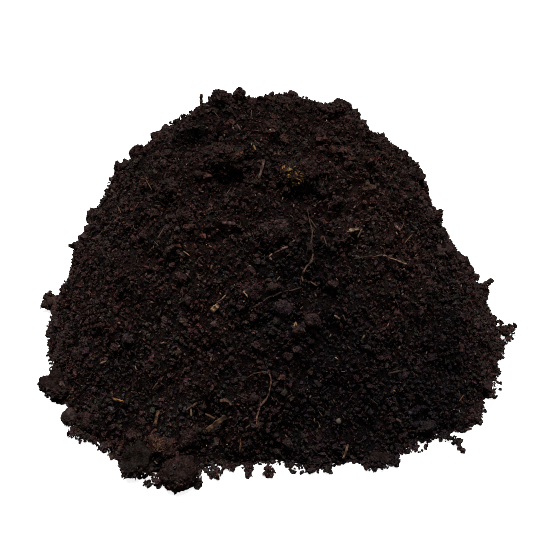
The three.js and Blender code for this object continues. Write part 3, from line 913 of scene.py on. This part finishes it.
def makeWood(name, look, rng):
    # middle + long axis · t + facing · arch · (1 - t²), with a boxy section that narrows to its ends
    middle, axes, half = nodeFrames[name]
    t = np.linspace(-1, 1, woodShape["steps"])
    level = look["lift"] + 2 * half[0] * look["arch"] * (1 - t ** 2)
    path = middle + axes[:, 0] * (half[0] * t)[:, None] + axes[:, 2] * level[:, None]
    ends = np.minimum(look["tip"] + woodShape["taper"] * (1 - np.abs(t)), 1)
    ragged = look["wide"] * (1 + woodShape["ragged"] * rng.uniform(-1, 1, (2, len(t))))
    wide, thick = half[1:, None] * ends * ragged
    sides, boxy = woodShape["sides"], woodShape["boxy"]
    points, faces, spots = tubes(path[None], wide[None], thick[None], axes[None, :, 2], sides, boxy)
    points = points[0] + woodShape["shake"] * shaken(points[0], woodShape["shakeSize"])
    maps = {"grain": spots.reshape(-1, 2)}
    tints = alongTints(look, t, sides)
    makePiece("look_" + name, woodFinish, points, faces, maps, tints, [name])


for number, (name, look) in enumerate(woodLooks.items()):
    makeWood(name, {**plainWood, **look}, np.random.default_rng(201 + number))
print("wood and bark:", len(woodLooks))


# Roots and thin straws: plan places in millimetres, thickness from first to last, tint and how it fades
plainRoot = {"slot": "root", "fade": (1, 1)}
rootLooks = {
    "root_long": {
        "route": [
            (20.7, -69.5), (21.8, -77.5), (22.8, -82.2), (22.6, -87), (23.4, -91.7),
            (20.1, -94.4), (18.5, -96.5), (17.8, -99),
        ],
        "thick": (0.7, 1.3), "tint": (0.047, 0.027, 0.018), "fade": (0.5, 1.6),
    },
    "root_dark": {
        "route": [(17.4, -100.4), (12.1, -101.2), (6, -102), (-0.3, -103.9), (-3.2, -105)],
        "thick": (0.9, 0.7), "tint": (0.022, 0.0135, 0.0105),
    },
    "root_side": {
        "route": [(2.7, -91.1), (5.5, -89.8), (7.5, -88.9), (10, -87.8)],
        "thick": (0.6, 1.9), "tint": (0.066, 0.034, 0.028), "fade": (0.4, 1.4),
    },
    "root_curled": {
        "route": [
            (-13, -123.7), (-6.8, -122.6), (-1.4, -122.4), (1.1, -124.1), (0.7, -126.2),
            (0, -127.6), (-4.1, -129.6), (-5.3, -131.3), (-6.6, -133.5), (-5.5, -136.1),
        ],
        "thick": (0.6, 1.35), "tint": (0.072, 0.038, 0.024), "fade": (0.5, 1.4),
    },
    "bark_curl": {
        "route": [(-26.2, -128.7), (-22.7, -128.6), (-20.1, -129.7)],
        "thick": (2.0, 1.5), "tint": (0.056, 0.029, 0.017), "slot": "bark",
    },
    "straw_bent": {
        "route": [(55, -85.2), (61.8, -83), (67.5, -81.9), (75.4, -79.4)],
        "thick": (0.6, 1.2), "tint": (0.132, 0.078, 0.046), "slot": "wood_bits", "fade": (0.5, 1.3),
    },
}
rootShape = {
    "steps": 9, "sides": 8, "lift": 0.75 * mm, "dip": 0.9 * mm, "dipSize": 3.5 * mm, "wander": 0.5 * mm,
    "wanderSize": 4 * mm, "knots": 0.4, "tip": 0.5,
}


def smoothRoute(route, steps):
    # a smooth curve through every place, between b and c with neighbours a and d:
    # (2b + (c - a)t + (2a - 5b + 4c - d)t² + (3b - a - 3c + d)t³) / 2
    route = np.array(route, float)
    places = np.concatenate([2 * route[:1] - route[1:2], route, 2 * route[-1:] - route[-2:-1]])
    a, b, c, d = (places[k:len(places) - 3 + k, None] for k in range(4))
    t = np.linspace(0, 1, steps, endpoint=False)[None, :, None]
    bend = (2 * a - 5 * b + 4 * c - d) * t ** 2 + (3 * b - a - 3 * c + d) * t ** 3
    curve = (2 * b + (c - a) * t + bend) / 2
    return np.concatenate([curve.reshape(-1, 2), route[-1:]])


def makeRoot(name, look, rng):
    # loose surface along the route + facing · (lift + dip · noise) + wander, with knots along it
    places, facing = onHeap(smoothRoute(look["route"], rootShape["steps"]))
    t = np.linspace(0, 1, len(places))
    level = rootShape["lift"] + rootShape["dip"] * softNoise(places, rootShape["dipSize"])
    path = places + facing * level[:, None] + rootShape["wander"] * shaken(places, rootShape["wanderSize"])
    thick = np.interp(t, (0, 1), look["thick"]) * mm / 2
    thick = thick * (1 + rootShape["knots"] * rng.uniform(-1, 1, len(t)))
    thick[[0, -1]] *= rootShape["tip"]
    points, faces, spots = tubes(path[None], thick[None], thick[None], facing[None], rootShape["sides"])
    maps = {"grain": spots.reshape(-1, 2)}
    tints = alongTints(look, t, rootShape["sides"])
    makePiece("look_" + name, rootFinish, points[0], faces, maps, tints, [name])


for number, (name, look) in enumerate(rootLooks.items()):
    makeRoot(name, {**plainRoot, **look}, np.random.default_rng(301 + number))
print("roots:", len(rootLooks))


# Grit that the frame has: a grey stone and a pale seed
gritLooks = {"grey_stone": {"tone": "stone", "uneven": 0.15}, "pale_seed": {"tone": "seed", "uneven": 0.06}}
gritShape = {"grid": (18, 9), "bumps": 1.5 * mm}


def makeGrit(name, look):
    # middle + axes · half size · corner · (1 + uneven · noise)
    middle, axes, half = nodeFrames[name]
    corners, faces, spots = ballGrid(*gritShape["grid"])
    points = middle + (corners * half) @ axes.T
    uneven = 1 + look["uneven"] * softNoise(points, gritShape["bumps"])
    points = middle + (points - middle) * uneven[:, None]
    tints = np.tile(tones[look["tone"]], (len(points), 1))
    spots = {"OFBake": spots.reshape(-1, 2)}
    makePiece("look_" + name, bitFinish, points, faces, spots, tints, [name])


for name, look in gritLooks.items():
    makeGrit(name, look)
print("grit:", len(gritLooks))


# Fine fibres all over, in millimetres, and the straws that stand out, by plan places of both ends,
# thickness and tone
fibres = {
    "count": 3200, "length": (1.2, 6.5), "thick": (0.16, 0.4), "lift": (0.2, 1.3), "steps": 3, "sides": 3,
    "bias": 2.5, "bend": 0.6, "tilt": 0.4, "taper": 1.4, "lowest": 0.4, "reach": 0.99,
}
strawShape = {
    "steps": 7, "sides": 6, "lift": 1.2, "clear": 0.8, "flat": 0.6, "ragged": (0.7, 1.0), "tip": 0.5,
}
fibreShares = {"brown": 0.3, "rust": 0.12, "bark": 0.33, "pink": 0.12, "beige": 0.11, "orange": 0.02}
straws = [
    (-34.5, -132, -29.5, -133.3, 1.4, "tan"), (-41.7, -129.8, -41.5, -132.1, 1.3, "straw"),
    (-63.6, -121.7, -60, -120.6, 1.0, "tan"), (34.6, -106.6, 37.9, -107, 1.2, "straw"),
    (14.2, -110.4, 13.1, -112, 0.9, "straw"), (14.2, -110.4, 14.7, -111.9, 0.9, "straw"),
    (107.7, -107.2, 113.3, -101.5, 0.9, "orange"), (54.9, -124.3, 59, -124.7, 0.6, "bark"),
    (27, -130.9, 28.9, -132.1, 0.6, "tan"), (-12.7, -136.1, -10.2, -135, 0.8, "tan"),
    (0.4, -131.5, 0.8, -133.1, 0.7, "bark"), (4.3, -99, 6, -98, 0.8, "tan"),
    (22.5, -98.7, 26.1, -99.6, 0.9, "orange"), (0, -92.2, 1.6, -91.2, 1.1, "straw"),
    (0.3, -92.4, 1.6, -93.1, 1.1, "straw"), (29.1, -84.6, 30.6, -88.1, 0.7, "pink"),
    (40, -105.9, 41.2, -107.1, 0.8, "pink"), (16.5, -106.4, 18, -105.5, 0.7, "tan"),
    (18, -111.9, 18.9, -112.9, 0.8, "pink"), (-30.4, -94.5, -30, -93.1, 1.3, "tan"),
    (-8.6, -43.8, -7.3, -47.7, 1.2, "ochre"), (-8.2, -38.5, -5.4, -43.2, 0.7, "pink"),
    (-17.7, -30.8, -15.8, -34.5, 1.1, "pink"), (114.9, -50.3, 117.8, -48.4, 0.9, "pink"),
    (50, -110.8, 51.2, -109.9, 1.3, "tan"), (-120.5, -97.6, -113.4, -101, 1.0, "orange"),
    (-95.2, -102.1, -92, -102.8, 0.9, "straw"), (-75, -110.4, -73.3, -112.2, 0.8, "straw"),
    (-58, -109, -56.4, -109, 0.9, "straw"), (75.4, -71.5, 80.6, -64.1, 0.8, "tan"),
    (48.8, -77.6, 47.9, -80.7, 0.9, "straw"), (73, -66.4, 76.6, -60.5, 0.8, "pink"),
    (-27.2, -103.8, -24.2, -103.3, 0.7, "tan"), (-24.2, -103.3, -22.4, -102.5, 0.9, "straw"),
    (45.9, -88.2, 55, -85.2, 0.5, "bark"), (22.4, -78, 25.5, -81.8, 0.9, "bark"),
    (-69.4, -43.8, -66.1, -51.7, 0.6, "tan"), (-57.2, -73.3, -59.4, -77.4, 0.7, "tan"),
    (-62.8, -76.8, -59.7, -80, 0.7, "tan"), (-89.8, -39.5, -85.8, -48.5, 0.7, "tan"),
    (-45.6, -85.8, -42.4, -87.8, 0.8, "straw"), (65.3, -115.5, 71.7, -113.6, 1.0, "bark"),
    (69.7, -125.7, 72.7, -125.9, 1.4, "pink"), (-17.2, -126.8, -11.7, -127.8, 0.6, "bark"),
]


def makeFibres(rng):
    # place + along · length · t + side · bend · t² + facing · (lift + tilt · t), t from -1/2 to 1/2
    count, steps = fibres["count"], fibres["steps"]
    places, facing = looseSurface(*scatterOnHeap(count, rng, fibres["reach"]))
    along = sideways(facing, rng)
    low, high = fibres["length"]
    length = mm * (low + (high - low) * rng.uniform(0, 1, count) ** fibres["bias"])
    lift = mm * rng.uniform(*fibres["lift"], count)
    bend = length * rng.normal(0, fibres["bend"], count)
    tilt = length * rng.normal(0, fibres["tilt"], count)
    t = np.linspace(-0.5, 0.5, steps)
    paths = places[:, None] + along[:, None] * (length[:, None] * t)[..., None]
    paths = paths + np.cross(facing, along)[:, None] * (bend[:, None] * t ** 2)[..., None]
    paths = paths + facing[:, None] * (lift[:, None] + tilt[:, None] * t)[..., None]
    paths[..., 2] = np.maximum(paths[..., 2], fibres["lowest"] * mm)
    half = mm / 2 * rng.uniform(*fibres["thick"], count)[:, None] * (1 - fibres["taper"] * t ** 2)
    points, faces, spots = tubes(paths, half, half, facing, fibres["sides"])
    makeCopies("fibres", bitFinish, points, faces, spots, bitTints(fibreShares, count, rng))


def makeStraws(rng):
    # from one plan place to the other, lifted till most of it clears the crumbs, tapering to the ends
    t = np.linspace(0, 1, strawShape["steps"])
    ends = np.array([straw[:4] for straw in straws])
    plan = ends[:, None, :2] * (1 - t)[:, None] + ends[:, None, 2:] * t[:, None]
    places, facing = onHeap(plan)
    line = places[:, :1] * (1 - t)[:, None] + places[:, -1:] * t[:, None]
    clear = ((places - line) * facing).sum(-1).max(1)
    thick = np.array([straw[4] for straw in straws])
    lift = mm * (strawShape["lift"] + thick / 2) + strawShape["clear"] * clear
    paths = line + facing * lift[:, None, None]
    ragged = rng.uniform(*strawShape["ragged"], (len(straws), len(t)))
    half = mm / 2 * thick[:, None] * np.minimum(strawShape["tip"] + 4 * t * (1 - t), 1) * ragged
    points, faces, spots = tubes(paths, half, strawShape["flat"] * half, facing, strawShape["sides"])
    tints = np.array([tones[straw[5]] for straw in straws])
    makeCopies("straws", bitFinish, points, faces, spots, tints)


makeFibres(np.random.default_rng(41))
makeStraws(np.random.default_rng(42))


# Flecks of wood and bark, and pale grains, lying among the crumbs
fleckKinds = {
    "wood_flecks": {
        "count": 780, "size": (0.6, 1.9), "stretch": (1.5, 0.6, 0.35), "slot": "wood_bits",
        "tones": {"beige": 0.36, "tan": 0.14, "orange": 0.05, "pink": 0.2, "bark": 0.2, "straw": 0.05},
    },
    "pale_grains": {
        "count": 70, "size": (0.45, 0.95), "stretch": (1.0, 0.9, 0.8), "slot": "grit",
        "tones": {"white": 0.6, "stone": 0.4},
    },
}
fleckShape = {"grid": (5, 2), "push": (0.7, 1.3), "lift": (0.5, 1.4), "reach": 0.98}
grainPlaces = [
    (-22.7, -139.4), (-31.1, -140.9), (-13.1, -130.2), (4.8, -122.7), (-63.4, -144.1), (-127.6, -80.5),
    (-60, -144.8), (-57, -146.4), (69.5, -92.2), (31.6, -82.3), (22.3, -94.5), (2.3, -103.4),
]


def makeFlecks(name, kind, rng, extra=()):
    # place + size / 2 · (along, side, facing) · stretch · corner · uneven push
    places, facing = looseSurface(*scatterOnHeap(kind["count"], rng, fleckShape["reach"]))
    if len(extra):
        extraPlaces, extraFacing = onHeap(extra)
        places = np.concatenate([places, extraPlaces])
        facing = np.concatenate([facing, extraFacing])
    count = len(places)
    along = sideways(facing, rng)
    axes = np.stack([along, np.cross(facing, along), facing], -1)
    corners, faces, spots = ballGrid(*fleckShape["grid"])
    sizes = mm * rng.uniform(*kind["size"], count)
    push = rng.uniform(*fleckShape["push"], (count, len(corners), 1))
    shaped = np.einsum("kij,knj->kni", axes, corners * push * kind["stretch"])
    middles = places + facing * (mm * rng.uniform(*fleckShape["lift"], count))[:, None]
    points = middles[:, None] + shaped * sizes[:, None, None] / 2
    tints = bitTints(kind["tones"], count, rng)
    makeCopies(name, bitFinish, points, faces, spots, tints)


makeFlecks("wood_flecks", fleckKinds["wood_flecks"], np.random.default_rng(51))
makeFlecks("pale_grains", fleckKinds["pale_grains"], np.random.default_rng(52), grainPlaces)


# Stage: a pale floor that glows, a soft key from above and a little from the front, and an even fill
stage = {
    "floorHalf": 12, "floorShade": 0.9, "floorGlow": 0.85, "fill": 0.1,
    "key": 5.1, "keyAngle": 30, "keyFrom": (0.02, -0.1, 1.0),
}
half = stage["floorHalf"]
floorMesh = bpy.data.meshes.new("floor")
floorCorners = [(-half, -half, 0), (half, -half, 0), (half, half, 0), (-half, half, 0)]
floorMesh.from_pydata(floorCorners, [], [(0, 1, 2, 3)])
floor = bpy.data.objects.new("floor", floorMesh)
floor.visible_diffuse = False
floor.visible_glossy = False
bpy.context.scene.collection.objects.link(floor)
floorFinish, floorShader = newFinish("floor_finish", 0.0)[:2]
floorShader.inputs["Base Color"].default_value = (stage["floorShade"],) * 3 + (1,)
floorShader.inputs["Roughness"].default_value = 1
floorShader.inputs["Emission Color"].default_value = (1, 1, 1, 1)
floorShader.inputs["Emission Strength"].default_value = stage["floorGlow"]
floorMesh.materials.append(floorFinish)

surround = bpy.data.worlds.new("surround")
surround.use_nodes = True
background = surround.node_tree.nodes["Background"]
background.inputs["Color"].default_value = (1, 1, 1, 1)
seen = Wire(surround.node_tree).node("LightPath", {}, {}, "Is Camera Ray")
feed(background, {"Strength": stage["fill"] + (1 - stage["fill"]) * seen})
bpy.context.scene.world = surround
bpy.context.scene.view_settings.view_transform = "Standard"
bpy.context.scene.cycles.use_denoising = False  # it would smear the crumbs
bpy.context.scene.cycles.filter_width = 1.0


def aimed(thing, place, target):
    # puts a light or camera at a place, looking at a target
    made = bpy.data.objects.new(thing.name, thing)
    made.location = place
    back = unit(np.array(place, float) - target)
    right = unit(np.cross((0, 0, 1), back))
    turn = np.stack([right, np.cross(back, right), back], -1)
    made.rotation_euler = mathutils.Matrix(turn.tolist()).to_euler()
    bpy.context.scene.collection.objects.link(made)
    return made


key = bpy.data.lights.new("key", "SUN")
key.angle = math.radians(stage["keyAngle"])
key.energy = stage["key"]
aimed(key, stage["keyFrom"], (0, 0, 0))

# Camera: where the picture was taken from and aimed in metres, its lens and sensor in millimetres
picture = {"place": (0.0031, -0.4172, 0.2879), "aim": (0.0044, 0, 0.0362), "lens": 46.04, "sensor": 36}
camera = bpy.data.cameras.new("camera")
camera.sensor_width = picture["sensor"]
camera.lens = picture["lens"]
bpy.context.scene.camera = aimed(camera, picture["place"], picture["aim"])

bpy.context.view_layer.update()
faceCount = sum(len(made.data.polygons) for made in bpy.context.scene.objects if made.type == "MESH")
print("faces in all, with the frame's own:", faceCount)
